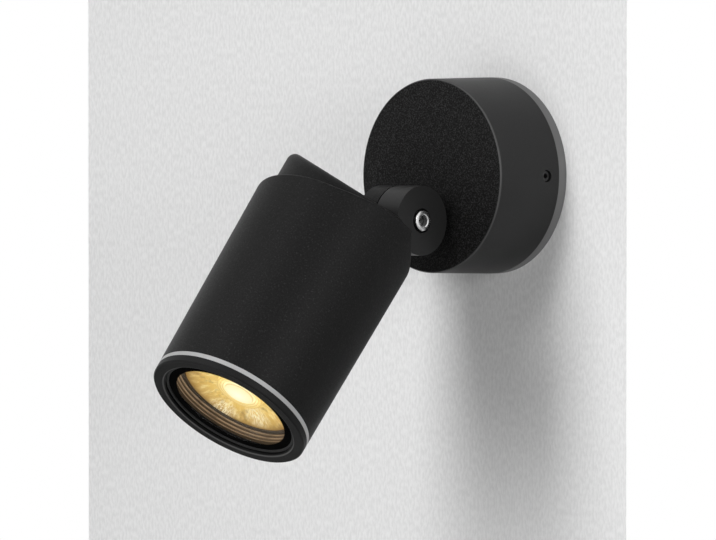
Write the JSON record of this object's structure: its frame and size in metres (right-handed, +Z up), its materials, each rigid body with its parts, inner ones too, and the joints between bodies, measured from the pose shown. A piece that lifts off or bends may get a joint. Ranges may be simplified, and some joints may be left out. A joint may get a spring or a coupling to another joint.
{
  "type": "pivoting spotlight wall light",
  "caption": "Round wall canopy with a two-lug knuckle that swivels and tilts a cylindrical spotlight head.",
  "frame": {"origin": "centre of the round wall plate, on the wall plane", "axes": "+Z up the wall, +X to the right seen from the room, -Y out of the wall along the light"},
  "size_m": [0.0786, 0.1725, 0.1499],
  "materials": {
    "black_coat": "fine-textured black powder coat",
    "silicone_grey": "moulded grey silicone",
    "silicone_white": "moulded translucent white silicone",
    "plated_steel": "zinc-plated pressed steel",
    "stainless": "bright stainless steel",
    "white_plastic": "moulded nylon",
    "black_plastic": "moulded black",
    "lead_sleeve": "silicone-sleeved conductor",
    "brass": "plain turned brass",
    "rubber": "moulded black rubber",
    "ceramic": "unglazed ceramic",
    "lamp_shell": "pale moulded lamp shell",
    "lamp_lens": "warm faceted reflector behind a lens",
    "clear_glass": "clear toughened glass with a printed dark border"
  },
  "bodies": {
    "wall_base": {"wall_gasket": "silicone_grey", "canopy": "black_coat", "wall_bracket": "plated_steel", "canopy_side_screws": "stainless", "terminal_block": "white_plastic", "terminal_screws": "stainless", "supply_leads": "lead_sleeve", "earth_screw": "brass"},
    "arm": {"swivel_arm": "black_coat", "stem_washer": "white_plastic", "stop_plate": "plated_steel", "stem_nut": "plated_steel", "swivel_seal": "rubber", "stem_leads": "lead_sleeve", "pivot_bolt": "stainless", "hinge_washer": "white_plastic", "hinge_seal": "rubber", "spring_washer": "stainless", "pivot_nut": "stainless"},
    "head": {"head_sleeve": "black_coat", "rear_housing": "black_coat", "rear_seal": "rubber", "housing_screws": "stainless", "holder_strap": "plated_steel", "strap_screws": "stainless", "lampholder": "ceramic", "lamp_body": "lamp_shell", "lamp_optic": "lamp_lens", "lamp_pins": "plated_steel", "head_leads": "lead_sleeve"},
    "bezel": {"bezel_ring": "black_coat", "silicone_ring": "silicone_white", "glass_gasket": "rubber", "front_glass": "clear_glass", "baffle_ring": "black_plastic"}
  },
  "joints": [
    {"name": "arm_swivel", "type": "hinge", "parent": "wall_base", "child": "arm", "pos_m": [0, -0.0367, -0.0175], "axis": [0, 1, 0], "range_deg": [-165, 165]},
    {"name": "head_tilt", "type": "hinge", "parent": "arm", "child": "head", "pos_m": [0, -0.0532, -0.0175], "axis": [1, 0, 0], "range_deg": [-50.84, 39.16]},
    {"name": "bezel_slide", "type": "slide", "parent": "head", "child": "bezel", "axis": [0, -0.6315, -0.7754], "range_m": [0, 0.02]}
  ]
}
